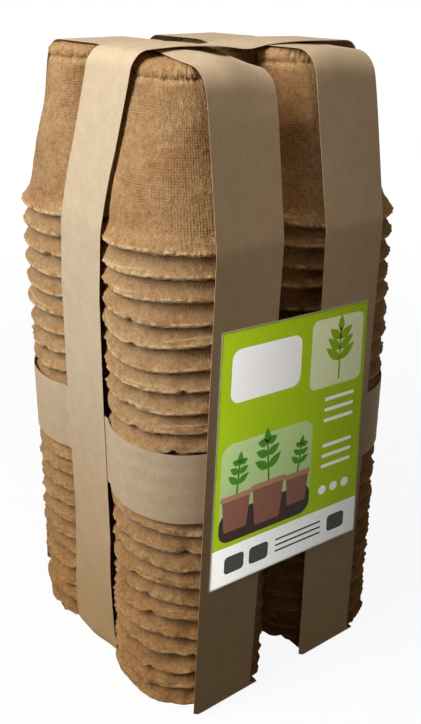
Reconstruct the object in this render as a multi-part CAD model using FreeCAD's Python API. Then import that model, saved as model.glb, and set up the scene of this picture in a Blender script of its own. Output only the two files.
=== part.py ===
import FreeCAD, Part
import math
import os

# A shop pack of round fibre pots: four stacks of nested pots stand mouth down in a square,
# and four bands of kraft paper tie them together under a flat label card.
# +Z is up, the origin is the middle of the base, and +X is the side that carries the label.

# One pot, mouth down
rim_diameter = 60.0
pot_height = 60.0
flare_width = 2.8
flare_height = 6.5
wall_lean = 9.7
foot_height = 5.0
foot_inset = 0.4
foot_edge_radius = 3.5
groove_height = 1.0
groove_depth = 0.7
wall_thickness = 1.54
base_thickness = 2.0
inner_foot_radius = 3.0
rim_edge_height = 1.4
rim_edge_width = 1.1
nest_clearance = 0.06

# The four stacks
pots_per_stack = 24
stack_gap = 0.3

# The paper bands
paper_thickness = 0.3
lay_clearance = 0.05
band_width = 28.0
fold_overhang = 2.2
top_fold_radius = 5.0
rim_fold_radius = 12.0
bottom_fold_radius = 2.0
crossing_margin = 1.0
crossing_ramp = 5.0
panel_margin = 1.0

# Where the middle line of each upright band lies: a side band's from the middle of its stacks
near_band_foot_shift = -5.85
near_band_head_shift = 4.95
far_band_foot_shift = -11.65
far_band_head_shift = -9.65
cross_band_foot_x = -2.0
cross_band_head_x = 12.0

# The waist band, with its foot a little below the rim of one pot
waist_band_pot = 12
waist_band_drop = 0.7
waist_pinch_radius = 2.0
waist_pinch_margin = 0.4

# The label card
label_width = 72.0
label_height = 102.0
label_thickness = 0.4
label_middle_y = -5.2
label_middle_z = 106.7
label_turn_degrees = -2.0

# Sizes that follow from the ones above
rim_radius = rim_diameter / 2
flare_start_radius = rim_radius - flare_width
shoulder_radius = flare_start_radius - wall_lean
shoulder_level = pot_height - foot_height
taper = wall_lean / (shoulder_level - flare_height)
nest_pitch = (wall_thickness + nest_clearance) / taper
foot_radius = shoulder_radius - taper * foot_height - foot_inset
stack_offset = rim_radius + stack_gap / 2
layer_step = paper_thickness + lay_clearance
rest_level = 2 * layer_step
top_rim_level = rest_level + (pots_per_stack - 1) * nest_pitch
stack_top = top_rim_level + pot_height
waist_radius = rim_radius + lay_clearance
waist_band_foot = rest_level + (waist_band_pot - 1) * nest_pitch - waist_band_drop
overrun = band_width

# How far out each band's inner face lies. The cross band's edge meets one stack's rims.
fold_reach = stack_offset + foot_radius + fold_overhang
side_reach = stack_offset + waist_radius + layer_step
pinch_run = stack_offset + cross_band_foot_x - band_width / 2 - waist_pinch_margin
pinch_reach = stack_offset + math.sqrt(waist_radius ** 2 - pinch_run ** 2)
cross_reach = pinch_reach + layer_step

stack_places = {
    "front": (stack_offset, -stack_offset),
    "left": (-stack_offset, -stack_offset),
    "right": (stack_offset, stack_offset),
    "back": (-stack_offset, stack_offset),
}


def line(a, b):
    return Part.LineSegment(a, b).toShape()


def rounded_corner(before, corner, after, radius):
    """The arc of a radius that is tangent to both sides of a corner, with its two ends."""
    back = (before - corner).normalize()
    ahead = (after - corner).normalize()
    half = back.getAngle(ahead) / 2
    first = corner + back * (radius / math.tan(half))
    last = corner + ahead * (radius / math.tan(half))
    inward = (back + ahead).normalize()
    middle = corner + inward * (radius / math.sin(half) - radius)
    return Part.Arc(first, middle, last).toShape(), first, last


def closed_wire(corners):
    """A closed wire through (point, radius) corners, sharp where the radius is 0."""
    count = len(corners)
    edges = []
    ends = []
    for i, (point, radius) in enumerate(corners):
        if radius > 0:
            before = corners[i - 1][0]
            after = corners[(i + 1) % count][0]
            edge, first, last = rounded_corner(before, point, after, radius)
            edges.append(edge)
            ends.append((first, last))
        else:
            ends.append((point, point))
    for i in range(count):
        edges.append(line(ends[i][1], ends[(i + 1) % count][0]))
    return Part.Wire(Part.__sortEdges__(edges))


def cone_radius(level):
    """Outer radius of the plain wall at a height above the rim's edge."""
    return shoulder_radius + taper * (shoulder_level - level)


def on_profile(radius, level):
    return FreeCAD.Vector(radius, 0, level)


def swell(start, end):
    """The rounded swell of the wall, from the plain cone out to the rim."""
    across = FreeCAD.Vector(start.z - end.z, 0, end.x - start.x).normalize()
    bulge = (end.x - start.x) / 4
    return Part.Arc(start, (start + end) / 2 + across * bulge, end).toShape()


def outer_profile():
    """From the axis over the foot, down the wall and out to the rim's edge."""
    axis_top = on_profile(0, pot_height)
    foot_corner = on_profile(foot_radius, pot_height)
    groove_top_level = shoulder_level + groove_height
    groove_top = on_profile(cone_radius(groove_top_level) - foot_inset, groove_top_level)
    groove_middle = on_profile(shoulder_radius - groove_depth, shoulder_level + groove_height / 2)
    shoulder = on_profile(shoulder_radius, shoulder_level)
    flare_start = on_profile(flare_start_radius, flare_height)
    rim_out = on_profile(rim_radius, rim_edge_height)
    rim_middle = on_profile(rim_radius - rim_edge_width / 6, rim_edge_height / 3)
    rim_foot = on_profile(rim_radius - rim_edge_width / 2, 0)
    foot_arc, first, last = rounded_corner(axis_top, foot_corner, groove_top, foot_edge_radius)
    return [
        line(axis_top, first),
        foot_arc,
        line(last, groove_top),
        Part.Arc(groove_top, groove_middle, shoulder).toShape(),
        line(shoulder, flare_start),
        swell(flare_start, rim_out),
        Part.Arc(rim_out, rim_middle, rim_foot).toShape(),
        line(rim_foot, on_profile(rim_radius - wall_thickness, 0)),
    ]


def inner_profile():
    """From the rim's edge up inside the wall to the axis, one wall in from the outside."""
    ceiling = pot_height - base_thickness
    rim_foot = on_profile(rim_radius - wall_thickness, 0)
    rim_in = on_profile(rim_radius - wall_thickness, rim_edge_height)
    flare_start = on_profile(flare_start_radius - wall_thickness, flare_height)
    corner = on_profile(cone_radius(ceiling) - wall_thickness, ceiling)
    axis_ceiling = on_profile(0, ceiling)
    corner_arc, first, last = rounded_corner(flare_start, corner, axis_ceiling, inner_foot_radius)
    return [
        line(rim_foot, rim_in),
        swell(flare_start, rim_in),
        line(flare_start, first),
        corner_arc,
        line(last, axis_ceiling),
        line(axis_ceiling, on_profile(0, pot_height)),
    ]


def pot():
    """One pot about the Z axis, mouth down, with its rim's edge at 0."""
    profile = Part.Wire(Part.__sortEdges__(outer_profile() + inner_profile()))
    return Part.Face(profile).revolve(FreeCAD.Vector(0, 0, 0), FreeCAD.Vector(0, 0, 1), 360)


def stack_groups():
    """Pot numbers from the bottom: the first and the last stand alone, the rest go in pairs."""
    pairs = [range(n, min(n + 2, pots_per_stack)) for n in range(2, pots_per_stack, 2)]
    return [range(1, 2)] + pairs + [range(pots_per_stack, pots_per_stack + 1)]


def stack_nodes(stack, place, shape):
    nodes = {}
    for numbers in stack_groups():
        copies = []
        for number in numbers:
            level = rest_level + (number - 1) * nest_pitch
            copies.append(shape.translated(FreeCAD.Vector(place[0], place[1], level)))
        kind = "pot" if len(copies) == 1 else "pots"
        name = "_".join([stack, kind] + [f"{number:02d}" for number in numbers])
        nodes[name] = copies[0] if len(copies) == 1 else Part.makeCompound(copies)
    return nodes


def moved_outward(points, distance):
    """A closed counter-clockwise outline of (u, v, radius) corners, moved out by a distance."""
    moved = []
    count = len(points)
    for i, (u, v, radius) in enumerate(points):
        before = points[i - 1]
        after = points[(i + 1) % count]
        into = math.atan2(v - before[1], u - before[0]) - math.pi / 2
        out = math.atan2(after[1] - v, after[0] - u) - math.pi / 2
        middle = (into + out) / 2 if abs(into - out) <= math.pi else (into + out) / 2 + math.pi
        reach = distance / abs(math.cos(into - middle))
        grown = radius + distance if radius > 0 else 0
        moved.append((u + reach * math.cos(middle), v + reach * math.sin(middle), grown))
    return moved


def ring(points, plane_point, push):
    """A paper ring with its inner face along the points, made wide enough for any band."""
    faces = []
    for distance in (paper_thickness, 0):
        corners = [
            (plane_point(u, v), radius) for u, v, radius in moved_outward(points, distance)
        ]
        faces.append(Part.Face(closed_wire(corners)))
    return faces[0].cut(faces[1]).extrude(push)


def upright_outline(reach, floor_points, head_level):
    """Inner outline of an upright band: along the floor, up, over the pots' feet and down."""
    rim_level = top_rim_level + rim_edge_height
    return [(-reach, paper_thickness, bottom_fold_radius)] + floor_points + [
        (reach, paper_thickness, bottom_fold_radius),
        (reach, rim_level, rim_fold_radius),
        (fold_reach, head_level, top_fold_radius),
        (-fold_reach, head_level, top_fold_radius),
        (-reach, rim_level, rim_fold_radius),
    ]


def strip(stations, plane_point, push):
    """The space between a band's long edges, from (level, middle) stations going up."""
    low = (stations[0][0] - overrun, stations[0][1])
    high = (stations[-1][0] + overrun, stations[-1][1])
    rows = [low] + stations + [high]
    right_side = [plane_point(middle + band_width / 2, level) for level, middle in rows]
    left_side = [plane_point(middle - band_width / 2, level) for level, middle in rows[::-1]]
    outline = right_side + left_side
    return Part.Face(Part.makePolygon(outline + outline[:1])).extrude(push)


def panels(loop, reach, out):
    """A paper loop as four panels that meet just past the folds: floor, two sides and top."""
    box = loop.BoundBox
    floor_run = reach - bottom_fold_radius - panel_margin
    top_run = fold_reach - top_fold_radius - panel_margin
    middle = (box.ZMin + box.ZMax) / 2
    across = FreeCAD.Vector(out.y, out.x, 0)
    size = 2 * (reach + overrun)

    def block(start, end, low, high):
        corner = out * start - across * (size / 2)
        corner.z = low
        width = out * (end - start) + across * size
        return Part.makeBox(width.x, width.y, high - low, corner)

    low = box.ZMin - panel_margin
    high = box.ZMax + panel_margin
    floor = block(-floor_run, floor_run, low, middle)
    top = block(-top_run, top_run, middle, high)
    sides = loop.cut(floor).cut(top)
    parts = [loop.common(floor), loop.common(top)] + list(sides.Solids)
    return Part.makeCompound([solid for part in parts for solid in part.Solids])


def side_band(foot_y, head_y):
    """A band in an XZ plane, round two stacks. It steps over the cross band on the floor."""
    near = cross_band_foot_x - band_width / 2 - crossing_margin
    far = cross_band_foot_x + band_width / 2 + crossing_margin
    floor_points = [
        (near - crossing_ramp, paper_thickness, 0),
        (near, paper_thickness + layer_step, 0),
        (far, paper_thickness + layer_step, 0),
        (far + crossing_ramp, paper_thickness, 0),
    ]
    outline = upright_outline(side_reach, floor_points, stack_top + lay_clearance)
    width = 2 * cross_reach
    loop = ring(
        outline,
        lambda u, v: FreeCAD.Vector(u, -cross_reach, v),
        FreeCAD.Vector(0, width, 0),
    )
    span = 2 * (side_reach + overrun)
    between = strip(
        [(0, foot_y), (stack_top, head_y)],
        lambda u, v: FreeCAD.Vector(-span / 2, u, v),
        FreeCAD.Vector(span, 0, 0),
    )
    return panels(loop.common(between), side_reach, FreeCAD.Vector(1, 0, 0))


def cross_band():
    """The band in a YZ plane, over both side bands. It leans towards the label up the feet."""
    outline = upright_outline(cross_reach, [], stack_top + lay_clearance + layer_step)
    width = 2 * side_reach
    loop = ring(
        outline,
        lambda u, v: FreeCAD.Vector(-side_reach, u, v),
        FreeCAD.Vector(width, 0, 0),
    )
    span = 2 * (cross_reach + overrun)
    between = strip(
        [(0, cross_band_foot_x), (top_rim_level, cross_band_foot_x), (stack_top, cross_band_head_x)],
        lambda u, v: FreeCAD.Vector(u, span / 2, v),
        FreeCAD.Vector(0, -span, 0),
    )
    return panels(loop.common(between), cross_reach, FreeCAD.Vector(0, 1, 0))


def waist_outline(distance):
    """The waist band's closed wire: round each stack, and pinched in under the cross band."""
    radius = waist_radius + distance
    pinch_radius = waist_pinch_radius - distance
    centre_gap = waist_radius + waist_pinch_radius
    rise = pinch_reach + waist_pinch_radius - stack_offset
    run = math.sqrt(centre_gap ** 2 - rise ** 2)
    turn = math.atan2(rise, -run)
    stack = FreeCAD.Vector(stack_offset, stack_offset, 0)
    pinch = FreeCAD.Vector(stack_offset - run, pinch_reach + waist_pinch_radius, 0)

    def around(centre, size, angle):
        return centre + FreeCAD.Vector(size * math.cos(angle), size * math.sin(angle), 0)

    side = around(stack, radius, 0)
    leave = around(stack, radius, turn)
    land = around(pinch, pinch_radius, -math.pi / 2)
    between = (turn - math.pi - math.pi / 2) / 2
    quarter = [
        line(FreeCAD.Vector(side.x, 0, 0), side),
        Part.Arc(side, around(stack, radius, turn / 2), leave).toShape(),
        Part.Arc(leave, around(pinch, pinch_radius, between), land).toShape(),
        line(land, FreeCAD.Vector(0, land.y, 0)),
    ]
    middle = FreeCAD.Vector(0, 0, 0)
    half = quarter + [edge.mirror(middle, FreeCAD.Vector(1, 0, 0)) for edge in quarter]
    whole = half + [edge.mirror(middle, FreeCAD.Vector(0, 1, 0)) for edge in half]
    wire = Part.Wire(Part.__sortEdges__(whole))
    wire.translate(FreeCAD.Vector(0, 0, waist_band_foot))
    return wire


def waist_band():
    outside = Part.Face(waist_outline(paper_thickness))
    inside = Part.Face(waist_outline(0))
    return outside.cut(inside).extrude(FreeCAD.Vector(0, 0, band_width))


def label_card():
    """The flat card on the two side bands, turned a little in its own plane."""
    inner_face = side_reach + layer_step
    corner = FreeCAD.Vector(
        inner_face,
        label_middle_y - label_width / 2,
        label_middle_z - label_height / 2,
    )
    card = Part.makeBox(label_thickness, label_width, label_height, corner)
    middle = FreeCAD.Vector(inner_face, label_middle_y, label_middle_z)
    card.rotate(middle, FreeCAD.Vector(1, 0, 0), label_turn_degrees)
    return card


def write_nodes():
    nodes = {}
    shape = pot()
    for stack, place in stack_places.items():
        nodes.update(stack_nodes(stack, place, shape))
    nodes["near_side_band"] = side_band(
        near_band_foot_shift - stack_offset, near_band_head_shift - stack_offset
    )
    nodes["far_side_band"] = side_band(
        stack_offset + far_band_foot_shift, stack_offset + far_band_head_shift
    )
    nodes["cross_band"] = cross_band()
    nodes["waist_band"] = waist_band()
    nodes["label_card"] = label_card()
    os.makedirs("parts", exist_ok=True)
    for name, solid in nodes.items():
        solid.exportStep(f"parts/{name}.step")
        print(name, len(solid.Solids), solid.isValid(), round(solid.Volume))
    print("nodes", len(nodes), "nest pitch", round(nest_pitch, 3), "stack top", round(stack_top, 2))


write_nodes()
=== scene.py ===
import math
import bpy
import numpy as np
from mathutils import Matrix


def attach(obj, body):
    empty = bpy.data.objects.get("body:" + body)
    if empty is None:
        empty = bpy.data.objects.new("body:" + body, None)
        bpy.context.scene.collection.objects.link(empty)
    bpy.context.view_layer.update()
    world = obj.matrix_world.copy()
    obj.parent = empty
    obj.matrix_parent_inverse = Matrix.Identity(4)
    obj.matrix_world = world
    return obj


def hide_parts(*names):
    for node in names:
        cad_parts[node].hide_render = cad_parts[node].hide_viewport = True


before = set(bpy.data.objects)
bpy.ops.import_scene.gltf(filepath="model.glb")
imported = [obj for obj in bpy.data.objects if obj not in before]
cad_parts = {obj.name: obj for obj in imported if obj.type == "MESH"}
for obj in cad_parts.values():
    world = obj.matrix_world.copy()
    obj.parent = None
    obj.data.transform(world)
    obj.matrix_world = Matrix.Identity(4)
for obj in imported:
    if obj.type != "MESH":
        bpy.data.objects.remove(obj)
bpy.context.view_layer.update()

MM = 0.001
TURN = 2 * math.pi


# The fibre pots
# Each pot is wood fibre and peat, sucked wet onto a wire mesh mould and dried in one piece.
# The mesh leaves its weave in the wall, and the rim dries as a thick, torn, uneven lip.
# 24 of them nest mouth down in each stack, so only their lips show below the top pot.

POT_HEIGHT = 60.0
RIM_RADIUS = 30.0
SHOULDER_RADIUS = 17.5
SHOULDER_LEVEL = 55.0
FLARE_RADIUS = 27.2
FLARE_LEVEL = 6.5
LIP_LEVEL = 1.4
WALL_SLOPE = (FLARE_RADIUS - SHOULDER_RADIUS) / (SHOULDER_LEVEL - FLARE_LEVEL)
PITCH = 8.0
POTS_PER_STACK = 24
STACK_FOOT = 0.7
TOP_RIM_LEVEL = STACK_FOOT + (POTS_PER_STACK - 1) * PITCH
STACK_OFFSET = 30.15
# From this level down, the pulp and the paper are tinted warmer and darker.
FLOORWARD_TINT_LEVEL = 130.0
STACKS = {
    "front": (STACK_OFFSET, -STACK_OFFSET),
    "left": (-STACK_OFFSET, -STACK_OFFSET),
    "right": (STACK_OFFSET, STACK_OFFSET),
    "back": (-STACK_OFFSET, STACK_OFFSET),
}
NESTED_COLUMNS = 208
TOP_COLUMNS = 440
WEAVE_SPACING = 0.9
WEAVE_TURNS = 164

# Where a pot is rough: zones as (start, end) levels and bells as (middle, half width), in
# millimetres above its rim, and the heights there of the bends, lumps, bumps and grain.
FLARE_ZONE = (4.0, 11.0)
EDGE_ZONE = (0.4, 2.6)
SAG_ZONE = (1.5, 9.0)
BODY_ZONE = (8.0, 14.0)
FOOT_ZONE = (53.5, 56.0)
PULL_ZONE = (44.0, 57.0)
BASE_ZONE = (57.0, 59.0)
BEAD = (1.0, 0.7)
SECOND_LIP = (3.0, 0.42)
FOOT_EDGE = (54.6, 0.5)
GROOVE = (55.3, 0.6)
FLARE_HEIGHTS = (0.36, 0.07, 0.07, 0.05)
BODY_HEIGHTS = (0.0, 0.06, 0.03, 0.03)
FOOT_HEIGHTS = (0.20, 0.14, 0.12, 0.08)
LOW_LUMPS = 0.34

# The range of wavelengths, in millimetres, of each kind of unevenness.
BEND_LENGTHS = (30, 90)
BODY_LENGTHS = (28, 80)
TWIN_LENGTHS = (25, 70)
PATCH_LENGTHS = (14, 40)
LUMP_LENGTHS = (6, 18)
BUMP_LENGTHS = (2.2, 6)
TEAR_LENGTHS = (1.6, 6)
TOP_GRAIN_LENGTHS = (0.9, 2.4)
NESTED_GRAIN_LENGTHS = (1.5, 3.2)

# What keeps the rims in place: the floor, the pot below, the neighbours and the waist band.
FLOOR_GAP = 0.02
LOWEST_LIP = -2.0
RIM_SPARE = 0.9
RIM_END = 9.0
WAIST_ZONE = (80.0, 122.0)

# How the upright bands pull on the top pots, and how far each nest leans in x and y at its top.
FOOT_TURN = 17.0
FOOT_DROP = 3.0
BASE_DROP = 0.3
NEAR_HEAD = -24.4
NEAR_DROOP = 5.2
FAR_HEAD = 20.5
FAR_DROOP = 1.5
LOOSE_RUN = (-6.0, 14.0)
NEST_LEANS = {"front": (-4.0, 0.3), "left": (2.2, 0.0), "right": (-2.2, -8.5), "back": (1.5, -1.5)}
LEAN_LEVELS = [140.0, 188.7, 192.0, 200.0, 212.0, 228.0, 244.7]
LEAN_SHARES = [0.0, 0.18, 0.28, 0.43, 0.60, 0.81, 1.0]


def linear(hex_colour):
    """The linear red, green, blue and alpha of an sRGB hex colour."""
    shares = [int(hex_colour[i : i + 2], 16) / 255 for i in (1, 3, 5)]
    return [s / 12.92 if s <= 0.04045 else ((s + 0.055) / 1.055) ** 2.4 for s in shares] + [1.0]


def add_node(tree, kind, inputs=None, **settings):
    """Adds a node, sets its settings, and fills its inputs with values or with links from sockets."""
    node = tree.nodes.new(kind)
    for key, value in settings.items():
        setattr(node, key, value)
    for key, value in (inputs or {}).items():
        if isinstance(value, bpy.types.NodeSocket):
            tree.links.new(value, node.inputs[key])
        else:
            node.inputs[key].default_value = value
    return node


def new_material(name):
    """A material with its tree, its shader and the point of the surface in millimetres."""
    material = bpy.data.materials.new(name)
    material.use_nodes = True
    tree = material.node_tree
    shader = tree.nodes["Principled BSDF"]
    place = add_node(tree, "ShaderNodeTexCoord").outputs["Object"]
    point = add_node(tree, "ShaderNodeMapping", {"Vector": place, "Scale": (1 / MM, 1 / MM, 1 / MM)})
    return material, tree, shader, point.outputs["Vector"]


def ramp(tree, value, stops):
    """A colour ramp through (place, hex colour) stops."""
    node = add_node(tree, "ShaderNodeValToRGB", {"Fac": value})
    elements = node.color_ramp.elements
    while len(elements) < len(stops):
        elements.new(0.5)
    for element, (place, colour) in zip(elements, stops):
        element.position = place
        element.color = linear(colour)
    return node.outputs["Color"]


def mix(tree, share, first, second, blend="MIX"):
    """The first colour with a share of the second laid over it, or multiplied in."""
    return add_node(
        tree, "ShaderNodeMix", {0: share, 6: first, 7: second}, data_type="RGBA", blend_type=blend
    ).outputs[2]


def calculate(tree, operation, *values):
    """One step of arithmetic on sockets and numbers."""
    return add_node(tree, "ShaderNodeMath", dict(enumerate(values)), operation=operation).outputs[0]


def span(tree, value, start, end, low=0.0, high=1.0, **settings):
    """Low where the value is at start, high where it is at end, and straight between."""
    places = {"Value": value, "From Min": start, "From Max": end, "To Min": low, "To Max": high}
    return add_node(tree, "ShaderNodeMapRange", places, **settings).outputs["Result"]


def noise(tree, point, size, detail, roughness=0.5):
    """The outputs of a cloudy noise whose lumps are about size millimetres across."""
    values = {"Vector": point, "Scale": 1 / size, "Detail": detail, "Roughness": roughness}
    return add_node(tree, "ShaderNodeTexNoise", values).outputs


def attribute(tree, name):
    """A number that the piece holds at each of its points."""
    return add_node(tree, "ShaderNodeAttribute", attribute_name=name).outputs["Fac"]


def axis(tree, vector, letter):
    """One coordinate of a vector."""
    return add_node(tree, "ShaderNodeSeparateXYZ", {0: vector}).outputs[letter]


def finish_shader(tree, shader, colour, roughness, shine):
    """Gives a shader its colour, its roughness and the strength of its shine."""
    tree.links.new(colour, shader.inputs["Base Color"])
    shader.inputs["Roughness"].default_value = roughness
    shader.inputs["Specular IOR Level"].default_value = shine


def add_bump(tree, shader, height, strength, depth):
    """Gives a shader a relief of that depth in millimetres."""
    values = {"Height": height, "Strength": strength, "Distance": depth * MM}
    tree.links.new(add_node(tree, "ShaderNodeBump", values).outputs["Normal"], shader.inputs["Normal"])


def moulded_pulp():
    """Moulded peat and wood fibre: matt, felted, flecked with bark, and pitted by the mesh.

    The clumps, grit, clouds and flecks are noises of 1.9, 0.55, 11 and 1.25 mm. The pack is tinted
    warmer and darker towards the floor. Torn rims are paler, partly from their raw fibre and partly
    from a painted highlight on each lit lip ridge. Painted shade greys the nested walls under each lip
    and darkens the hollows of the weave."""
    material, tree, shader, point = new_material("Moulded wood-fibre pulp")
    clumps = noise(tree, point, 1.9, 4.0, 0.55)
    grit = noise(tree, point, 0.55, 3.0, 0.7)["Fac"]
    clouds = noise(tree, point, 11, 3.0)["Fac"]
    flecks = noise(tree, point, 1.25, 2.0)["Fac"]
    torn_fibre_and_highlight, under_lip_painted_shade, weave = (attribute(tree, name) for name in ("torn_fibre_and_highlight", "under_lip_painted_shade", "weave"))
    colour = ramp(
        tree, clumps["Fac"], [(0.28, "#BC9464"), (0.45, "#D2AC7B"), (0.58, "#DAB585"), (0.78, "#E6C89B")]
    )
    specks = ramp(tree, grit, [(0.34, "#B8AFA2"), (0.5, "#F4F1EC"), (0.66, "#FFFFFF")])
    colour = mix(tree, 0.75, colour, specks, "MULTIPLY")
    tint = ramp(tree, clouds, [(0.3, "#E6D6C8"), (0.7, "#FFFFFF")])
    colour = mix(tree, 1.0, colour, tint, "MULTIPLY")
    # Painted shade: the nested pots' walls under the lip of the pot above are greyed towards #A0846A.
    colour = mix(tree, under_lip_painted_shade, colour, linear("#A0846A"))
    # The pulp is tinted warmer and darker from that level down to the floor.
    floorward_share = span(tree, axis(tree, point, "Z"), FLOORWARD_TINT_LEVEL, 0.0, high=0.8)
    colour = mix(tree, floorward_share, colour, linear("#FFE7C4"), "MULTIPLY")
    fleck_share = span(tree, flecks, 0.66, 0.76, high=0.7)
    colour = mix(tree, fleck_share, colour, linear("#7A4E2C"))
    # Paler rims: partly their raw fibre, partly a painted highlight on each lit lip ridge.
    pale_lip_and_highlight_share = span(tree, calculate(tree, "MULTIPLY", torn_fibre_and_highlight, grit), 0.12, 0.5, high=0.85)
    colour = mix(tree, pale_lip_and_highlight_share, colour, linear("#F2D6A6"))
    knots = woven_knots(tree, clumps["Color"])
    dimples = calculate(tree, "MULTIPLY", knots, weave)
    # Painted shade: the hollows between the mesh knots are darkened towards #8A6240.
    between = calculate(tree, "MULTIPLY", span(tree, knots, 0.5, 0.0, high=0.3), weave)
    colour = mix(tree, between, colour, linear("#8A6240"))
    relief = calculate(tree, "MULTIPLY_ADD", dimples, 0.5, grit)
    relief = calculate(tree, "MULTIPLY_ADD", clumps["Fac"], 0.8, relief)
    finish_shader(tree, shader, colour, roughness=0.94, shine=0.25)
    add_bump(tree, shader, relief, strength=0.9, depth=0.55)
    return material


def woven_knots(tree, wander):
    """The print of a wire mesh: 1 where threads cross, 0 between them.

    It is the product of two half waves, 0.5 + 0.5 * sine, one for each way that threads run. Their
    lines wander by up to 3.2 radians, about half a thread."""
    threads = add_node(
        tree, "ShaderNodeMapping",
        {"Vector": add_node(tree, "ShaderNodeTexCoord").outputs["UV"], "Scale": (TURN, TURN, 1.0)},
    ).outputs["Vector"]
    strayed = add_node(
        tree, "ShaderNodeVectorMath", {0: wander, 1: (3.2, 3.2, 0.0), 2: threads}, operation="MULTIPLY_ADD"
    ).outputs["Vector"]
    sines = [calculate(tree, "SINE", axis(tree, strayed, letter)) for letter in "XY"]
    return calculate(
        tree, "MULTIPLY", *(calculate(tree, "MULTIPLY_ADD", sine, 0.5, 0.5) for sine in sines)
    )


def waves(rng, angle, level, count, lengths, radius=25.0):
    """A bumpy field about 1 high: a sum of cosines whose wavelength is in a range, in millimetres.

    Each wave goes a whole number of times round the pot, so that the field closes on itself."""
    size = np.exp(rng.uniform(np.log(lengths[0]), np.log(lengths[1]), count))
    way = rng.uniform(0, TURN, count)
    around = np.round(TURN * radius / size * np.cos(way))
    up = TURN / size * np.sin(way)
    phase = rng.uniform(0, TURN, count)
    field = np.zeros(np.broadcast(angle, level).shape)
    for i in range(count):
        field += np.cos(around[i] * angle + up[i] * level + phase[i])
    return field * math.sqrt(2 / count)


def smooth_step(value, start, end):
    """0 before start, 1 after end, and smooth between."""
    share = np.clip((value - start) / (end - start), 0, 1)
    return share * share * (3 - 2 * share)


def hump(value, middle, half_width):
    """A bell curve: 1 where the value is at the middle, and soon 0 on both sides."""
    return np.exp(-(((value - middle) / half_width) ** 2))


def foot_drop(x, y):
    """How far the bands pull the top feet down at (x, y).

    It is most at the front stack's outer corner, and towards the loose edge of each side band."""
    corner = (np.abs(x) + np.abs(y) - 2 * STACK_OFFSET) / math.sqrt(2) / FOOT_TURN
    pulled = FOOT_DROP * smooth_step(corner, -0.1, 1.0) * smooth_step(x, 0, 12) * smooth_step(-y, 0, 12)
    near = NEAR_DROOP * smooth_step(y - NEAR_HEAD, *LOOSE_RUN) * (y < 0)
    far = FAR_DROOP * smooth_step(y - FAR_HEAD, *LOOSE_RUN)
    return pulled + smooth_step(x, 6, 46) * (near + far)


def pot_profile(fine):
    """Rows of (radius, level, outside) from the foot's middle over the wall and lip to the ceiling.

    Down the flare, the share of its depth to the power 1.15 swells the wall out to the rim."""
    foot = [(5.0, 59.7), (10.0, 59.8), (13.6, 60.0), (14.5, 59.9), (15.3, 59.5), (16.0, 58.9)]
    foot += [(16.6, 58.1), (16.95, 57.2), (17.05, 56.4), (16.95, 55.9), (16.7, 55.4), (16.9, 54.9)]
    foot += [(17.5, 54.3)]
    z = np.linspace(53.4, 12.0, 56 if fine else 2)
    wall = np.column_stack([SHOULDER_RADIUS + WALL_SLOPE * (SHOULDER_LEVEL - z), z])
    z = np.linspace(11.0, LIP_LEVEL, 20)
    share = np.clip((FLARE_LEVEL - z) / (FLARE_LEVEL - LIP_LEVEL), 0, 1) ** 1.15
    plain = SHOULDER_RADIUS + WALL_SLOPE * (SHOULDER_LEVEL - np.maximum(z, FLARE_LEVEL))
    swell = share * (RIM_RADIUS - FLARE_RADIUS) + 0.5 * share * (1 - share)
    flare = np.column_stack([plain + swell, z])
    lip = [(29.95, 0.95), (29.78, 0.5), (29.45, 0.15), (29.05, 0.0), (28.7, 0.1), (28.5, 0.5)]
    inside = [(28.4, 1.4), (27.9, 3.0), (26.7, 5.0), (25.66, FLARE_LEVEL), (24.4, 12.8), (21.0, 29.8)]
    inside += [(16.9, 50.3), (16.1, 54.6), (15.3, 56.6), (13.6, 57.7), (12.0, 58.0), (5.0, 58.0)]
    if not fine:
        foot = foot[2:3] + foot[6:7] + foot[12:]
        inside = inside[:2] + inside[3:4] + inside[6:7] + inside[9:11]
    outer = np.vstack([foot, wall, flare, lip])
    rows = np.vstack([outer, inside])
    outside = np.concatenate([np.ones(len(outer)), np.zeros(len(inside))])
    return rows[:, 0], rows[:, 1], outside


def notches(rng, turn):
    """Three nicks in a rim, 1 deep at their middles and 0.9 to 2.2 mm wide."""
    places = rng.uniform(0, TURN, 3)[:, None]
    widths = rng.uniform(0.9, 2.2, 3)[:, None] / RIM_RADIUS
    away = (turn - places + math.pi) % TURN - math.pi
    return hump(away, 0, widths).sum(axis=0)


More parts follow.
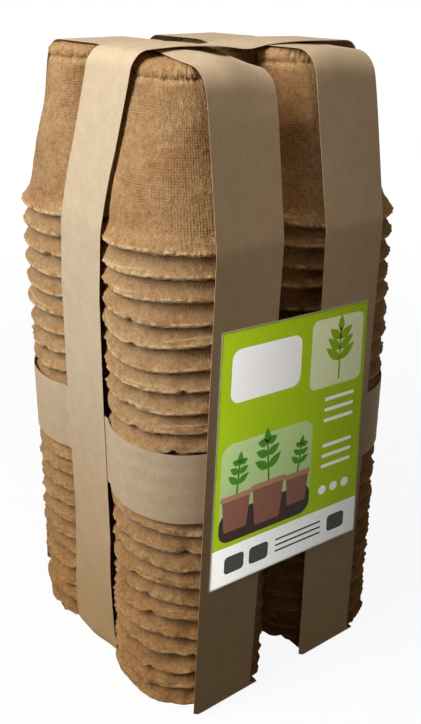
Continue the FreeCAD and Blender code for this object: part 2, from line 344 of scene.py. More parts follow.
def pot_surface(rng, stack_field, number, top, middle, lean):
    """The points, attributes and weave coordinates of one pot, as a grid of rows by columns.

    Radius and level of the plain profile are moved by sums of waves: slow ones that bend the
    whole lip, middle ones that lump it, and fine ones that tear its edge. The number before each
    of them is its height in millimetres. Low pots are lumpier and bend more."""
    columns = TOP_COLUMNS if top else NESTED_COLUMNS
    radius, level, outside = pot_profile(top)
    angle = np.arange(columns) * TURN / columns
    turn, z = angle[None, :], level[:, None]
    out = outside[:, None]
    rim_level = STACK_FOOT + (number - 1) * PITCH
    low = 1 - rim_level / TOP_RIM_LEVEL

    bends = stack_field(turn, number) + 0.5 * waves(rng, turn, 0 * turn, 5, BEND_LENGTHS)
    lumps = waves(rng, turn, z, 26, LUMP_LENGTHS)
    bumps = waves(rng, turn, z, 40, BUMP_LENGTHS)
    grain = waves(rng, turn, z, 60, TOP_GRAIN_LENGTHS if top else NESTED_GRAIN_LENGTHS)
    tears = waves(rng, turn, z * 0.4, 50, TEAR_LENGTHS)

    def relief(heights):
        return sum(height * field for height, field in zip(heights, (bends, lumps, bumps, grain)))

    push = (1 - smooth_step(z, *FLARE_ZONE)) * (relief(FLARE_HEIGHTS) + LOW_LUMPS * low * lumps)
    push = push + hump(z, *BEAD) * (0.22 + 0.20 * tears + 0.12 * grain)
    twin = smooth_step(waves(rng, turn, 0 * turn, 6, TWIN_LENGTHS), 0.5, 1.1)
    second = hump(z - 0.4 * bends, *SECOND_LIP) * twin
    push = push + second * (0.34 + 0.12 * grain)
    if top:
        body = smooth_step(z, *BODY_ZONE) * out
        push = push + body * (0.24 * waves(rng, turn, z, 8, BODY_LENGTHS) + relief(BODY_HEIGHTS))
        push = push + smooth_step(z, *FOOT_ZONE) * out * relief(FOOT_HEIGHTS)
        depth = 0.55 * smooth_step(tears + 0.5 * grain, -0.3, 1.2) + 0.1 * bumps
        push = push - hump(z, *GROOVE) * out * depth
    push = push * (out + (1 - out) * 0.5 * (1 - smooth_step(z, 1.0, 3.5)))
    edge_share = 1 - smooth_step(z, *EDGE_ZONE)
    drop = (1 - smooth_step(z, *SAG_ZONE)) * (0.55 + 0.85 * low) * bends
    drop = drop + edge_share * (0.15 * tears + 0.07 * bumps + 0.08 * grain)
    cuts = notches(rng, turn) * edge_share
    drop = drop + cuts
    push = push - 0.7 * cuts

    spare = 0.0 if WAIST_ZONE[0] < rim_level < WAIST_ZONE[1] else RIM_SPARE
    limit = RIM_RADIUS + spare * (1 - np.cos(2 * turn) ** 16)
    r = radius[:, None] + push
    r = np.where(z < RIM_END, np.minimum(r, limit), r)
    h = np.maximum(z + drop, FLOOR_GAP * (out + 1) if number == 1 else LOWEST_LIP)
    x, y = r * np.cos(turn), r * np.sin(turn)
    if top:
        pulled = foot_drop(middle[0] + lean[0] + x, middle[1] + lean[1] + y)
        h = h - pulled * smooth_step(z, *PULL_ZONE) - BASE_DROP * smooth_step(z, *BASE_ZONE)
    leaning = np.interp(rim_level + z, LEAN_LEVELS, LEAN_SHARES)
    points = np.stack([x + leaning * lean[0], y + leaning * lean[1], rim_level + h + 0 * r], axis=-1)

    flecked = hump(z, *FOOT_EDGE) * out * smooth_step(grain + bumps, 0.2, 1.4)
    # How pale the pulp is: raw fibre at the rim's tears, its second lip and flecks at the foot's edge, and
    # partly a painted highlight on each lit lip ridge.
    torn_fibre_and_highlight = (1 - smooth_step(z, 1.1, 2.5)) * np.clip(0.75 + 0.4 * tears, 0, 1) + 0.8 * second + flecked
    torn_fibre_and_highlight = torn_fibre_and_highlight * (1 - 0.5 * low)
    # Painted shade on the nested pots' outer walls from 2.6 mm up, under the lip of the pot above.
    under_lip_painted_shade = (0 if top else 0.35) * out * smooth_step(z, 2.6, 6.0) + 0 * turn
    woven = out * smooth_step(z, 2.0, 7.0) * (1 - smooth_step(z, 52.0, 54.0))
    woven = woven * np.clip(0.55 + 0.45 * waves(rng, turn, z, 10, PATCH_LENGTHS), 0.1, 1.0)
    slant = np.concatenate([[0], np.cumsum(np.hypot(np.diff(radius), np.diff(level)))])
    return points, {"torn_fibre_and_highlight": torn_fibre_and_highlight, "under_lip_painted_shade": under_lip_painted_shade, "weave": woven}, slant


def signed_volume(points, faces):
    """Six times the volume that the faces close: positive when they point outwards."""
    total = 0.0
    for k in range(1, faces.shape[1] - 1):
        a, b, c = points[faces[:, 0]], points[faces[:, k]], points[faces[:, k + 1]]
        total += np.einsum("ij,ij->i", a, np.cross(b, c)).sum()
    return total


def make_piece(name, points, faces, material, nodes, uv=None, attributes=None, sharp=None):
    """Puts points in millimetres and lists of faces into one mesh that replaces its CAD nodes.

    faces is a list of integer arrays, one per number of corners, and uv follows their corners."""
    loops = np.concatenate([f.ravel() for f in faces])
    sizes = np.concatenate([np.full(len(f), f.shape[1]) for f in faces])
    starts = np.concatenate([[0], np.cumsum(sizes)[:-1]])
    mesh = bpy.data.meshes.new(name)
    mesh.vertices.add(len(points))
    mesh.vertices.foreach_set("co", (points * MM).astype(np.float32).ravel())
    mesh.loops.add(len(loops))
    mesh.loops.foreach_set("vertex_index", loops.astype(np.int32))
    mesh.polygons.add(len(sizes))
    mesh.polygons.foreach_set("loop_start", starts.astype(np.int32))
    mesh.polygons.foreach_set("use_smooth", np.ones(len(sizes), bool))
    mesh.update(calc_edges=True)
    if uv is not None:
        layer = mesh.uv_layers.new(name="UVMap")
        layer.data.foreach_set("uv", uv.astype(np.float32).ravel())
    for key, values in (attributes or {}).items():
        mesh.attributes.new(key, "FLOAT", "POINT").data.foreach_set("value", values.astype(np.float32))
    if sharp is not None:
        mesh.set_sharp_from_angle(angle=math.radians(sharp))
    mesh.validate()
    mesh.materials.append(material)
    piece = bpy.data.objects.new(name, mesh)
    bpy.context.scene.collection.objects.link(piece)
    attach(piece, "root")
    if nodes:
        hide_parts(*nodes)


def pot_faces(rows, columns, first):
    """Quads of the grid, closed round the pot, and the two fans that close foot and ceiling."""
    index = first + np.arange(rows * columns).reshape(rows, columns)
    nxt = np.roll(index, -1, axis=1)
    quads = np.stack([index[:-1], index[1:], nxt[1:], nxt[:-1]], axis=-1).reshape(-1, 4)
    foot, ceiling = first + rows * columns, first + rows * columns + 1
    top = np.stack([np.full(columns, foot), index[0], nxt[0]], axis=-1)
    under = np.stack([index[-1], np.full(columns, ceiling), nxt[-1]], axis=-1)
    return quads, np.vstack([top, under])


def pot_uv(columns, slant):
    """Weave coordinates at the corners of the same quads and fans, counted in threads."""
    around = np.arange(columns + 1) * WEAVE_TURNS / columns
    down = slant / WEAVE_SPACING
    u0, v0 = np.meshgrid(around[:-1], down[:-1])
    u1, v1 = np.meshgrid(around[1:], down[1:])
    quads = np.stack([u0, v0, u0, v1, u1, v1, u1, v0], axis=-1).reshape(-1, 2)
    a, b = around[:-1], around[1:]
    zero, first, last = 0 * a, 0 * a + down[0], 0 * a + down[-1]
    top = np.stack([a, zero, a, first, b, first], axis=-1).reshape(-1, 2)
    under = np.stack([a, last, a, last + 1, b, last], axis=-1).reshape(-1, 2)
    return quads, np.vstack([top, under])


def slow_field(seed):
    """The bend that a whole stack's lips share: waves round the stack that change slowly upwards."""
    rng = np.random.default_rng(seed)
    number = 7
    around = rng.integers(1, 5, number)
    drift = rng.uniform(-0.9, 0.9, number)
    phase = rng.uniform(0, TURN, number)

    def field(angle, pot):
        total = 0 * angle
        for n, d, p in zip(around, drift, phase):
            total = total + np.cos(n * angle + d * pot + p)
        return total * math.sqrt(2 / number) * 0.7

    return field


def make_pots(stack, numbers, field, first_seed):
    """One or two pots of a stack as one piece, which replaces the CAD node with their numbers."""
    place = STACKS[stack]
    points, quads, fans, uv_quads, uv_fans = [], [], [], [], []
    fields = {"torn_fibre_and_highlight": [], "under_lip_painted_shade": [], "weave": []}
    count = 0
    for number in numbers:
        rng = np.random.default_rng(first_seed + number)
        top = number == POTS_PER_STACK
        grid, values, slant = pot_surface(rng, field, number, top, place, NEST_LEANS[stack])
        rows, columns = grid.shape[:2]
        poles = np.array([grid[0].mean(axis=0), grid[-1].mean(axis=0)])
        points.append(np.vstack([grid.reshape(-1, 3), poles]) + np.array([*place, 0.0]))
        quad, fan = pot_faces(rows, columns, count)
        uv_quad, uv_fan = pot_uv(columns, slant)
        quads.append(quad)
        fans.append(fan)
        uv_quads.append(uv_quad)
        uv_fans.append(uv_fan)
        for key, value in values.items():
            fields[key].append(np.append(value.ravel(), [0, 0]))
        count += len(points[-1])
    kind = "pot" if len(numbers) == 1 else "pots"
    node = "_".join([stack, kind] + [f"{n:02d}" for n in numbers])
    make_piece(
        "fibre_" + node, np.vstack(points), [np.vstack(quads), np.vstack(fans)],
        pulp, [node], uv=np.vstack(uv_quads + uv_fans),
        attributes={key: np.concatenate(value) for key, value in fields.items()},
    )


pulp = moulded_pulp()
pairs = [[n, n + 1] for n in range(2, POTS_PER_STACK, 2)]
for stack_number, stack in enumerate(STACKS):
    stack_bend = slow_field(40 + stack_number)
    for numbers in [[1]] + pairs + [[POTS_PER_STACK]]:
        make_pots(stack, numbers, stack_bend, 1000 * (stack_number + 1))


# The upright paper bands
# Two strips of brown kraft paper, each looped round a pair of stacks and folded softly over the
# feet of the top pots. They are machine-made wrapping paper, cut 28 mm wide, smooth and unprinted.

PAPER = 0.3
SHEET = 0.14
LAYER = 0.35
BAND_WIDTH = 28.0
STACK_TOP = TOP_RIM_LEVEL + POT_HEIGHT
SIDE_REACH = 60.55
SIDE_LAY = 0.15
FOLD_REACH = 50.0
FOLD_RADIUS = 9.5
FLOOR_RADIUS = 2.0
RIM_BEND_RADIUS = 16.0
HOLLOW_DEPTH = 1.9
HOLLOW_RUN = 16.0
SIDE_STAND = 0.12
RIPPLE = 0.3
RIPPLE_LENGTH = 10.0
STEP = 1.5

# A side band steps over the cross band on the floor, and lies a little further back there.
FLOOR_SHIFT = 5.0
FLOOR_RAMP = [
    (-22.0, PAPER, 0.3), (-17.0, PAPER + LAYER, 0.3), (13.0, PAPER + LAYER, 0.3), (18.0, PAPER, 0.3),
]

# Each side band is (y of its middle at the floor, y of its middle at the top, seed).
SIDE_BANDS = {
    "near_side_band": (-36.0, NEAR_HEAD, 11),
    "far_side_band": (18.5, FAR_HEAD, 12),
}


def kraft_paper():
    """Brown kraft wrapping: smooth, matt and cloudy, with long faint fibres, and warmer and darker low
    down.
    """
    material, tree, shader, point = new_material("Kraft wrapping paper")
    upright = add_node(tree, "ShaderNodeMapping", {"Vector": point, "Scale": (1.0, 1.0, 0.4)})
    fibre = noise(tree, upright.outputs["Vector"], 0.7, 4.0, 0.6)["Fac"]
    colour = ramp(tree, noise(tree, point, 6, 4.0)["Fac"], [(0.3, "#D6C0A0"), (0.7, "#DFCAAB")])
    shade = ramp(tree, fibre, [(0.3, "#F5F1EC"), (0.6, "#FFFFFF")])
    colour = mix(tree, 1.0, colour, shade, "MULTIPLY")
    # The paper is tinted warmer and darker from that level down to 15 mm.
    floorward_tint = span(tree, axis(tree, point, "Z"), FLOORWARD_TINT_LEVEL, 15.0)
    colour = mix(tree, floorward_tint, colour, linear("#F0DCBE"), "MULTIPLY")
    finish_shader(tree, shader, colour, roughness=0.72, shine=0.35)
    add_bump(tree, shader, fibre, strength=0.25, depth=0.04)
    return material


def even_steps(path, step):
    """Points at about equal steps along a path that closes on its first point."""
    closed = np.vstack([path, path[:1]])
    run = np.concatenate([[0], np.cumsum(np.hypot(*np.diff(closed, axis=0).T))])
    samples = np.arange(0, run[-1] - step / 2, step)
    return np.stack([np.interp(samples, run, closed[:, k]) for k in (0, 1)], axis=-1)


def outward(path):
    """Unit steps to the right of a closed path, which is outwards where it runs counter-clockwise."""
    ahead = np.roll(path, -1, axis=0) - np.roll(path, 1, axis=0)
    ahead /= np.linalg.norm(ahead, axis=1)[:, None]
    return np.stack([ahead[:, 1], -ahead[:, 0]], axis=-1)


def rounded_path(corners, step):
    """Points at about equal steps along a closed path with rounded corners.

    Each (u, v, radius) corner becomes an arc that is tangent to both of its sides."""
    path = []
    count = len(corners)
    for i, (u, v, radius) in enumerate(corners):
        here = np.array([u, v])
        back = np.array(corners[i - 1][:2]) - here
        ahead = np.array(corners[(i + 1) % count][:2]) - here
        back, ahead = back / np.linalg.norm(back), ahead / np.linalg.norm(ahead)
        half = math.acos(np.clip(back @ ahead, -1, 1)) / 2
        inward = (back + ahead) / np.linalg.norm(back + ahead)
        centre = here + inward * radius / math.sin(half)
        first, last = here + back * radius / math.tan(half), here + ahead * radius / math.tan(half)
        a0 = math.atan2(*(first - centre)[::-1])
        sweep = (math.atan2(*(last - centre)[::-1]) - a0 + math.pi) % TURN - math.pi
        turn = a0 + sweep * np.linspace(0, 1, 9)
        path.append(centre + radius * np.stack([np.cos(turn), np.sin(turn)], axis=-1))
    return even_steps(np.vstack(path), step)


def band_faces(rows, columns):
    """Quads of a grid that closes on itself both ways: along the loop and round the paper."""
    index = np.arange(rows * columns).reshape(rows, columns)
    down, right = np.roll(index, -1, axis=0), np.roll(index, -1, axis=1)
    both = np.roll(down, -1, axis=1)
    return np.stack([index, down, both, right], axis=-1).reshape(-1, 4)


def make_band(name, x, y, z):
    """Joins a band's grid of points into a closed paper loop that replaces its CAD node."""
    points = np.stack([x, y, z], axis=-1)
    faces = band_faces(*points.shape[:2])
    points = points.reshape(-1, 3)
    faces = faces if signed_volume(points, faces) > 0 else faces[:, ::-1]
    make_piece("kraft_" + name, points, [faces], kraft, [name], sharp=45)


def across_sheet(start, end, steps=24):
    """Places across a band, over the sheet's outer face and back under its inner one, with heights."""
    share = np.linspace(start, end, steps + 1)
    height = PAPER - SHEET * np.repeat([0, 1], steps + 1)
    return np.concatenate([share, share[::-1]])[None, :], height[None, :]


def band_points(path, middle, lift):
    """One closed paper loop: the path's points moved out by lift and spread across the band.

    path holds (along, up) points, middle gives where the band's middle lies at each of them, and
    lift(along, up, share) how far the sheet stands out from its plain path."""
    out = outward(path)
    share, height = across_sheet(-1, 1)
    along, up = path[:, :1], path[:, 1:]
    reach = lift(along, up, share) + height
    sideways = middle(path[:, 1])[:, None] + share * BAND_WIDTH / 2
    along = along + out[:, :1] * reach
    return along, sideways + 0 * along, up + out[:, 1:] * reach


def upright_corners(reach, floor_points, head, fold, radius):
    """The corners of an upright band's inner face, counter-clockwise, as (along, up, radius)."""
    rim = TOP_RIM_LEVEL + LIP_LEVEL
    return [(-reach, PAPER, FLOOR_RADIUS)] + floor_points + [
        (reach, PAPER, FLOOR_RADIUS), (reach, rim, RIM_BEND_RADIUS), (fold, head, radius),
        (-fold, head, radius), (-reach, rim, RIM_BEND_RADIUS),
    ]


def side_lift(ripples):
    """How a side band stands out from its plain path.

    It sinks between the feet, as a cosine squared, and on its sides it ripples by the mean of
    some cosines of (turns in a ripple length, slant, phase)."""

    def lift(along, up, share):
        on_top = smooth_step(up, STACK_TOP - 2, STACK_TOP)
        on_side = smooth_step(up, 4, 30) * (1 - smooth_step(up, STACK_TOP - 12, STACK_TOP - 2))
        hollow = np.cos(np.clip(along / HOLLOW_RUN, -1, 1) * math.pi / 2) ** 2
        climb = TURN * up / RIPPLE_LENGTH
        wave = sum(np.cos(k * climb + slant * share + phase) for k, slant, phase in ripples)
        return -HOLLOW_DEPTH * on_top * hollow + on_side * (SIDE_STAND + RIPPLE * wave / len(ripples))

    return lift


kraft = kraft_paper()
for name, (foot_y, head_y, seed) in SIDE_BANDS.items():
    rng = np.random.default_rng(seed)
    ripples = [(rng.uniform(0.02, 0.09), rng.uniform(-1.5, 1.5), rng.uniform(0, TURN)) for _ in range(9)]
    corners = upright_corners(SIDE_REACH, FLOOR_RAMP, STACK_TOP + SIDE_LAY, FOLD_REACH, FOLD_RADIUS)
    along, sideways, up = band_points(
        rounded_path(corners, STEP),
        lambda v: np.interp(v, [0.4, 3.0, STACK_TOP], [foot_y + FLOOR_SHIFT, foot_y, head_y]),
        side_lift(ripples),
    )
    up = up - foot_drop(along, sideways) * smooth_step(up, STACK_TOP - 22, STACK_TOP - 4)
    make_band(name, along, sideways, up)


# The cross band
# A third kraft strip, square to the other two and laid over them. It ties the two pairs together,
# leans towards the label as it comes up over the feet, and curls in at its free edge near the floor.

CROSS_REACH = 57.22
CROSS_FOLD = 49.2
CROSS_RADIUS = 6.5
CROSS_LEVELS = [0.0, 11.0, 21.0, 40.0, 60.0, 118.0, 161.0, 183.0, 196.0, 206.0, 214.0, 226.0, 236.0, 243.0]
CROSS_MIDDLES = [-1.0, -2.9, -2.5, -0.6, 1.0, 0.0, 0.3, 2.5, 4.1, 5.9, 8.0, 10.5, 12.5, 13.5]
CROSS_LAY = 0.5
CURL = 2.5
corners = upright_corners(CROSS_REACH, [], STACK_TOP + CROSS_LAY, CROSS_FOLD, CROSS_RADIUS)
path = rounded_path(corners, STEP)


def cross_lift(along, up, share):
    """The sheet rides up over the two side bands and dips between them, each a bell curve."""
    bells = 0.8 * hump(along, -30, 13) + 0.5 * hump(along, 22, 14) - 1.2 * hump(along, -3, 7)
    return smooth_step(up, STACK_TOP - 2, STACK_TOP) * bells + 0 * share


along, sideways, up = band_points(
    path, lambda v: np.interp(v, CROSS_LEVELS, CROSS_MIDDLES), cross_lift
)
free_edge = (1 - smooth_step(up, 5, 50)) * smooth_step(sideways, -5, 11) * smooth_step(-along, 40, 56)
make_band("cross_band", sideways, along + CURL * free_edge, up)


# The waist band
# The same kraft paper, wrapped level round all four stacks under the upright bands. It lies on the
# rims, runs straight between the stacks on the open sides, and is pinched in under the cross band.

WAIST_RADIUS = 30.05
WAIST_FOOT = 88.0
PINCH_RADIUS = 2.0
PINCH_REACH = CROSS_REACH - LAYER
PRESS = 0.04

# How far the band's foot lies above WAIST_FOOT at bearings round the pack, in degrees.
WAIST_LEVELS = {-180: 0.5, -135: 1.0, -45: -2.4, 45: 0.8, 135: 0.0, 180: 0.5}


def waist_path(step):
    """The level outline of the band: an arc on each stack and a small arc into each pinch."""
    gap = WAIST_RADIUS + PINCH_RADIUS
    rise = PINCH_REACH + PINCH_RADIUS - STACK_OFFSET
    run = math.sqrt(gap ** 2 - rise ** 2)
    turn = math.atan2(rise, -run)
    arc = np.linspace(0, turn, 60)
    stack = STACK_OFFSET + WAIST_RADIUS * np.stack([np.cos(arc), np.sin(arc)], axis=-1)
    arc = np.linspace(turn - math.pi, -math.pi / 2, 12)
    pinch = np.array([STACK_OFFSET - run, PINCH_REACH + PINCH_RADIUS])
    pinch = pinch + PINCH_RADIUS * np.stack([np.cos(arc), np.sin(arc)], axis=-1)
    quarter = np.vstack([stack, pinch])
    half = np.vstack([quarter, quarter[::-1] * [-1, 1]])
    whole = np.vstack([half, half[::-1] * [1, -1]])
    return even_steps(whole, step)


path = waist_path(1.0)
out = outward(path)
share, height = across_sheet(0, 1)
bearing = np.degrees(np.arctan2(path[:, 1], path[:, 0]))
level = np.interp(bearing, list(WAIST_LEVELS), list(WAIST_LEVELS.values()))
z = WAIST_FOOT + level[:, None] + share * BAND_WIDTH
reach = height + PRESS * np.cos(TURN * (z - STACK_FOOT) / PITCH)
make_band("waist_band", path[:, :1] + out[:, :1] * reach, path[:, 1:] + out[:, 1:] * reach, z)


# The label card
# A flat card, coated and printed in offset inks, fixed to the two side bands. It is lime green with
# a picture of seedlings in pots, a blank pale plate above and a pale strip along its foot. It hangs
# a little askew, and its two long edges aren't quite parallel.

LABEL_WIDTH = 72.0
LABEL_HEIGHT = 102.0
LABEL_THICKNESS = 0.4
LABEL_FACE = SIDE_REACH + LAYER
LABEL_CORNERS = np.array([[(-43.2, 57.8), (-38.7, 159.2)], [(31.5, 54.4), (29.4, 156.2)]])


def printed_card(name, colours):
    """Clay-coated card under offset ink: even colour, a faint grain and a low satin gloss.

    The ink goes from the first colour at the card's head to the last at its foot."""
    material, tree, shader, point = new_material(name)
    foot, head = LABEL_CORNERS[0, :, 1]
    height = span(tree, axis(tree, point, "Z"), head, foot)
    ink = ramp(tree, height, list(zip(np.linspace(0, 1, len(colours)), colours)))
    shade = ramp(tree, noise(tree, point, 0.5, 2.0)["Fac"], [(0.3, "#F4F4F4"), (0.6, "#FFFFFF")])
    finish_shader(tree, shader, mix(tree, 1.0, ink, shade, "MULTIPLY"), roughness=0.42, shine=0.08)
    return material


def on_label(across, up, proud):
    """Points of the card's own plane: across and up shared out between its four corners."""
    right = (across / LABEL_WIDTH + 0.5)[:, None]
    head = (up / LABEL_HEIGHT + 0.5)[:, None]
    foot_line = LABEL_CORNERS[0, 0] * (1 - right) + LABEL_CORNERS[1, 0] * right
    head_line = LABEL_CORNERS[0, 1] * (1 - right) + LABEL_CORNERS[1, 1] * right
    yz = foot_line * (1 - head) + head_line * head
    x = LABEL_FACE + LABEL_THICKNESS + proud
    return np.column_stack([np.full(len(yz), x), yz])


def plates(outlines, foot, head):
    """Closed flat plates of ink between two heights, from outlines that their middles can see."""
    points, fans, walls, count = [], [], [], 0
    for outline in outlines:
        n = len(outline)
        middle = outline.mean(axis=0, keepdims=True)
        flat = np.vstack([outline, middle])
        points += [on_label(flat[:, 0], flat[:, 1], head), on_label(flat[:, 0], flat[:, 1], foot)]
        i = np.arange(n)
        j = (i + 1) % n
        up, low = count, count + n + 1
        fans += [np.stack([up + i, up + j, np.full(n, up + n)], axis=-1)]
        fans += [np.stack([low + j, low + i, np.full(n, low + n)], axis=-1)]
        walls += [np.stack([up + j, up + i, low + i, low + j], axis=-1)]
        count += 2 * (n + 1)
    return np.vstack(points), [np.vstack(walls), np.vstack(fans)]


def rounded_box(left, right, foot, head, radius, steps=8):
    """The outline of a box with round corners, counter-clockwise."""
    turn = np.linspace(0, math.pi / 2, steps)
    corners = [(right, head, 0), (left, head, 1), (left, foot, 2), (right, foot, 3)]
    rows = []
    for x, y, quarter in corners:
        cx = x - radius * (1 if quarter in (0, 3) else -1)
        cy = y - radius * (1 if quarter in (0, 1) else -1)
        angle = turn + quarter * math.pi / 2
        rows.append(np.stack([cx + radius * np.cos(angle), cy + radius * np.sin(angle)], axis=-1))
    return np.vstack(rows)


def leaf(x, y, length, width, angle, steps=14):
    """A pointed leaf: half a sine wave wide on each side of its rib, turned to an angle."""
    share = np.linspace(0, 1, steps)
    half = width / 2 * np.sin(math.pi * share ** 0.8)
    rib = np.concatenate([share, share[-2:0:-1]]) * length
    side = np.concatenate([-half, half[-2:0:-1]])
    cos, sin = math.cos(math.radians(angle)), math.sin(math.radians(angle))
    return np.stack([x + rib * cos - side * sin, y + rib * sin + side * cos], axis=-1)


def stem(x0, y0, x1, y1, width):
    """A straight stem as a thin box along its line."""
    way = np.array([x1 - x0, y1 - y0])
    side = np.array([-way[1], way[0]]) / np.linalg.norm(way) * width / 2
    a, b = np.array([x0, y0]), np.array([x1, y1])
    return np.array([a - side, b - side, b + side, a + side])


def cup(x, y, width, height):
    """A round pot seen from the side: wider at its mouth, with slightly rounded corners."""
    return np.array([
        (x - 0.36 * width, y), (x + 0.36 * width, y), (x + 0.40 * width, y + 0.06 * height),
        (x + 0.50 * width, y + 0.98 * height), (x + 0.48 * width, y + height),
        (x - 0.48 * width, y + height), (x - 0.50 * width, y + 0.98 * height),
        (x - 0.40 * width, y + 0.06 * height),
    ])


half_width, half_height = LABEL_WIDTH / 2, LABEL_HEIGHT / 2
cut_edge = 0.12
card_outline = rounded_box(-half_width, half_width, -half_height, half_height, 0.4, 4)
card_points, card_faces = plates([card_outline], -LABEL_THICKNESS, 0.0)
make_piece(
    "label_card_blank", card_points, card_faces,
    printed_card("Coated card, unprinted white", ["#F4F4F0", "#F4F4F0"]),
    ["label_card"], sharp=30,
)

# What is printed, in millimetres from the card's middle. Each cup is (middle, foot, width, height),
# each rim (middle, foot, width), each seedling (middle, foot, size, lean in degrees), each pair of
# leaves (level, rise in degrees), and the picture (left, right, foot).
green_outline = rounded_box(
    -half_width + cut_edge, half_width - cut_edge, -34.0, half_height - cut_edge, 0.3, 4
)
PICTURE = (-33.5, 10.0, -32.0)
picture = rounded_box(*PICTURE, 8.5, 5.0)
soil = rounded_box(*PICTURE, -19.0, 5.0)
plate = rounded_box(-31.0, 2.0, 24.0, 44.0, 4.0)
CUPS = [(-26.0, -27.5, 13.0, 14.0), (-11.0, -29.0, 15.0, 16.5), (3.2, -26.0, 11.5, 12.5)]
RIMS = [(-26.0, -14.6, 14.6), (-11.0, -13.6, 16.8), (3.2, -14.6, 13.0)]
SEEDLINGS = [(-26.0, -12.4, 1.0, 4), (-11.0, -11.4, 1.3, -5), (3.2, -12.4, 0.9, 7)]
LEAF_PAIRS = [(4.0, 38), (8.2, 30), (12.0, 22)]
cups = [cup(*row) for row in CUPS]
rims = [rounded_box(x - width / 2, x + width / 2, y, y + 2.2, 0.9, 4) for x, y, width in RIMS]
leaves, stems = [], []
for x, y, size, lean in SEEDLINGS:
    sway = size * math.sin(math.radians(lean))
    for level, rise in LEAF_PAIRS:
        length = (7.2 - 0.28 * level) * size
        for way in (-1, 1):
            angle = 90 + way * (90 - rise) - lean
            leaves.append(leaf(x + level * sway, y + level * size, length, 2.7 * size, angle))
    leaves.append(leaf(x + 12 * sway, y + 12 * size, 5.0 * size, 2.4 * size, 90 - lean))
    stems.append(stem(x, y - 0.4, x + 13 * sway, y + 13 * size, 0.8))
sprig_panel = rounded_box(7.0, 34.0, 20.0, 47.5, 3.0)
sprig = [leaf(22.0, 30.0 + 4.2 * i, 9.5 - i, 3.6, 90 + way * 52) for i in range(3) for way in (-1, 1)]
sprig += [leaf(22.0, 41.0, 7.0, 3.2, 90), stem(22.0, 22.0, 22.0, 43.0, 0.9)]
bars = [rounded_box(15.5, 31.0, y, y + 1.5, 0.7, 4) for y in (14.0, 9.5, 5.0, -6.0, -10.5, -15.0)]
discs = [rounded_box(14.8 + 6.0 * i, 18.8 + 6.0 * i, -27.0, -23.0, 1.99, 8) for i in range(3)]
tiles = [rounded_box(x, x + 9.0, -46.0, -38.5, 1.6, 5) for x in (-30.0, -18.5, 20.5)]
rules = [rounded_box(-6.0, 17.0, y, y + 0.8, 0.35, 4) for y in (-40.0, -42.6, -45.2)]

# Each print is (name, ink, colours from head to foot, lower and upper face, outlines).
PRINTS = [
    ("green_ground", "lime green ink", ["#99B614", "#98B413"], 0.0, 0.02, [green_outline]),
    ("picture_sky", "pale leaf green ink", ["#C9DDA0", "#7FA05A"], 0.02, 0.04, [picture]),
    ("plate", "pale grey ink", ["#EAEAE7", "#E4E4E1"], 0.02, 0.04, [plate]),
    ("picture_soil", "dark soil brown ink", ["#3A2A22", "#2A1E1A"], 0.04, 0.055, [soil]),
    ("picture_pots", "terracotta brown ink", ["#8E6250", "#6E4638"], 0.055, 0.07, cups),
    ("picture_rims", "pale terracotta ink", ["#A87E68", "#946A56"], 0.07, 0.085, rims),
    ("picture_stems", "moss green ink", ["#4C6E1E", "#3E5C1A"], 0.055, 0.065, stems),
    ("picture_leaves", "leaf green ink", ["#4F8A22", "#2F6A1C"], 0.065, 0.08, leaves),
    ("sprig_panel", "pale lime ink", ["#D9DFB4", "#C6CF92"], 0.02, 0.03, [sprig_panel]),
    ("sprig", "lime green ink on pale ink", ["#7E9E12", "#7E9E12"], 0.035, 0.05, sprig),
    ("white_marks", "white ink", ["#F6F8EE", "#EEF0E6"], 0.02, 0.04, bars + discs),
    ("grey_marks", "dark grey ink", ["#4A4A48", "#3C3C3A"], 0.0, 0.02, tiles + rules),
]
for name, ink, colours, foot, head, outlines in PRINTS:
    points, faces = plates(outlines, foot, head)
    card = printed_card("Coated card, " + ink, colours)
    make_piece("label_" + name, points, faces, card, [], sharp=30)


# The studio
# A pale floor and even light all round. The largest soft lamp is high on the pack's left, a small
# one hangs above it, and a weak one stands on the label's side. Two snoots throw narrow beams, one
# on the label, through a graded filter, and a faint one into the gap behind the near side band.

FLOOR_REACH = 6.0
FLOOR_GLOW = (0.92, 1.0)
FLOOR_SWEEP = (120.0, 900.0)
AMBIENT = 0.035
WHITE = (1.0, 1.0, 1.0, 1.0)


def seen_directly(tree, kinds):
    """1 for rays of these kinds, which meet the eye directly or in a shine, and 0 for others."""
    rays = add_node(tree, "ShaderNodeLightPath").outputs
    seen = rays[kinds[0]]
    for kind in kinds[1:]:
        seen = calculate(tree, "MAXIMUM", seen, rays[kind])
    return seen


def studio_floor():
    """Matt white board. It looks white from the camera and keeps the shadow that falls on it."""
    material, tree, shader, point = new_material("Matt white board")
    shader.inputs["Base Color"].default_value = linear("#5A5A5A")
    shader.inputs["Roughness"].default_value = 0.9
    shader.inputs["Specular IOR Level"].default_value = 0.1
    away = add_node(tree, "ShaderNodeVectorMath", {0: point}, operation="LENGTH").outputs["Value"]
    swept = span(tree, away, *FLOOR_SWEEP, *FLOOR_GLOW, interpolation_type="SMOOTHSTEP")
    seen = seen_directly(tree, ["Is Camera Ray", "Is Glossy Ray"])
    glow = calculate(tree, "MULTIPLY", seen, swept)
    tree.links.new(glow, shader.inputs["Emission Strength"])
    shader.inputs["Emission Color"].default_value = WHITE
    return material


floor_mesh = bpy.data.meshes.new("floor")
floor_corners = [(-1, -1, 0), (1, -1, 0), (1, 1, 0), (-1, 1, 0)]
floor_mesh.from_pydata([np.array(corner) * FLOOR_REACH for corner in floor_corners], [], [(0, 1, 2, 3)])
floor_mesh.materials.append(studio_floor())
floor = bpy.data.objects.new("floor", floor_mesh)
bpy.context.scene.collection.objects.link(floor)

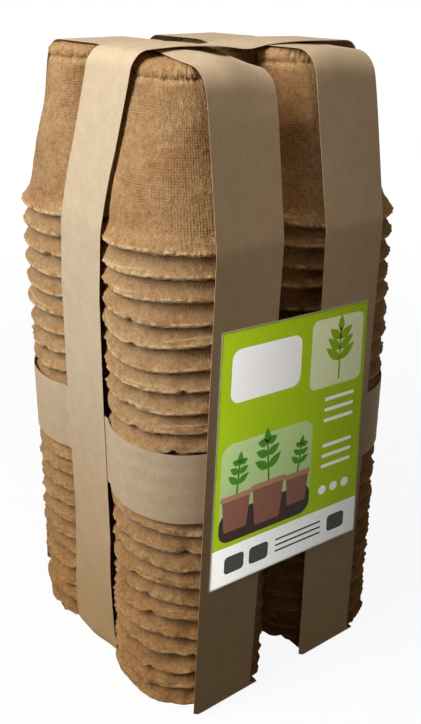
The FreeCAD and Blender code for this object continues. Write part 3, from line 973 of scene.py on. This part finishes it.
world = bpy.data.worlds.new("Studio")
bpy.context.scene.world = world
world.use_nodes = True
sky = world.node_tree
background = sky.nodes["Background"]
seen = seen_directly(sky, ["Is Camera Ray", "Is Glossy Ray", "Is Transmission Ray"])
fill = mix(sky, seen, linear("#FFE0BC"), WHITE)
sky.links.new(fill, background.inputs["Color"])
sky.links.new(span(sky, seen, 0.0, 1.0, low=AMBIENT), background.inputs["Strength"])


def standing(right, up, back, place):
    """The matrix of something that stands at a place, from its own three directions."""
    rows = [[right[i], up[i], back[i], place[i]] for i in range(3)]
    return Matrix(rows + [[0, 0, 0, 1]])


# Each lamp is (place, target, width and height, spread in degrees, watts, colour, upwards).
UPRIGHT = (0, 0, 1)
LAMPS = {
    "front_softbox": (
        (0.0, -0.41, 0.42), (0.0, -0.03, 0.15), (0.22, 0.40), 180, 2.24, "#FFFFFF", UPRIGHT),
    "high_softbox": (
        (0.05, -0.03, 0.52), (0.03, -0.02, 0.20), (0.15, 0.15), 180, 0.29, "#FFEFDB", UPRIGHT),
    "side_softbox": (
        (0.26, -0.02, 0.20), (0.06, -0.02, 0.19), (0.10, 0.10), 80, 0.0092, "#FFE0BC", UPRIGHT),
    "label_snoot": (
        (0.161, -0.00355, 0.10683), (0.061, -0.00355, 0.10683), (0.0742, 0.1006), 1, 0.0228,
        "#FFFFFF", (0, 0.0448, 0.999)),
    "gap_snoot": (
        (0.1225, -0.0555, 0.2945), (0.0415, 0.006, 0.2335), (0.012, 0.021), 3, 0.00012,
        "#FFEFDB", UPRIGHT),
}
for name, (place, target, size, spread, power, colour, upwards) in LAMPS.items():
    light = bpy.data.lights.new(name, "AREA")
    light.shape = "RECTANGLE"
    light.size, light.size_y = size
    light.spread = math.radians(spread)
    light.energy = power
    light.color = linear(colour)[:3]
    lamp = bpy.data.objects.new(name, light)
    bpy.context.scene.collection.objects.link(lamp)
    back = np.array(place) - np.array(target)
    back = back / np.linalg.norm(back)
    right = np.cross(upwards, back)
    right = right / np.linalg.norm(right)
    lamp.matrix_world = standing(right, np.cross(back, right), back, place)

# The label snoot's graded filter lets all light through at the card's left edge. Towards the right
# one it falls off as a power of its darkest share, and a slanting mask then cuts the beam off.
FILTER_EDGES = (-0.042, 0.031)
FILTER_DARKEST = math.exp(-1.35)
MASK_SLOPE = -0.0207
MASK_PLACE = 0.0324

light = bpy.data.lights["label_snoot"]
light.use_nodes = True
gel = light.node_tree
spot = add_node(gel, "ShaderNodeNewGeometry").outputs["Position"]
sideways, height = axis(gel, spot, "Y"), axis(gel, spot, "Z")
fade = calculate(gel, "POWER", FILTER_DARKEST, span(gel, sideways, *FILTER_EDGES))
edge = calculate(gel, "MULTIPLY_ADD", height, MASK_SLOPE, MASK_PLACE)
fade = calculate(gel, "MULTIPLY", fade, calculate(gel, "LESS_THAN", sideways, edge))
gel.links.new(fade, gel.nodes["Emission"].inputs["Strength"])


# The camera
# It stands above and to one side, where the label and the pack's left face both show. The focal
# length and the point that the axis goes through are in pixels.

camera_place = np.array([268.84, -201.23, 267.56]) * MM
camera_right = np.array([0.59294, 0.80524, 0.00332])
camera_up = np.array([-0.30235, 0.21881, 0.92774])
camera_back = np.array([0.74633, -0.55110, 0.37320])
picture_width, picture_height = 421, 724
focal_length = 874.85
axis_x, axis_y = 199.88, 327.04
camera_data = bpy.data.cameras.new("camera")
camera_data.sensor_width = 36.0
camera_data.lens = camera_data.sensor_width * focal_length / picture_height
camera_data.shift_x = (picture_width / 2 - axis_x) / picture_height
camera_data.shift_y = (axis_y - picture_height / 2) / picture_height
camera_data.clip_start = 0.01
camera = bpy.data.objects.new("camera", camera_data)
bpy.context.scene.collection.objects.link(camera)
camera.matrix_world = standing(camera_right, camera_up, camera_back, camera_place)
bpy.context.scene.camera = camera
bpy.context.scene.view_settings.view_transform = "Standard"
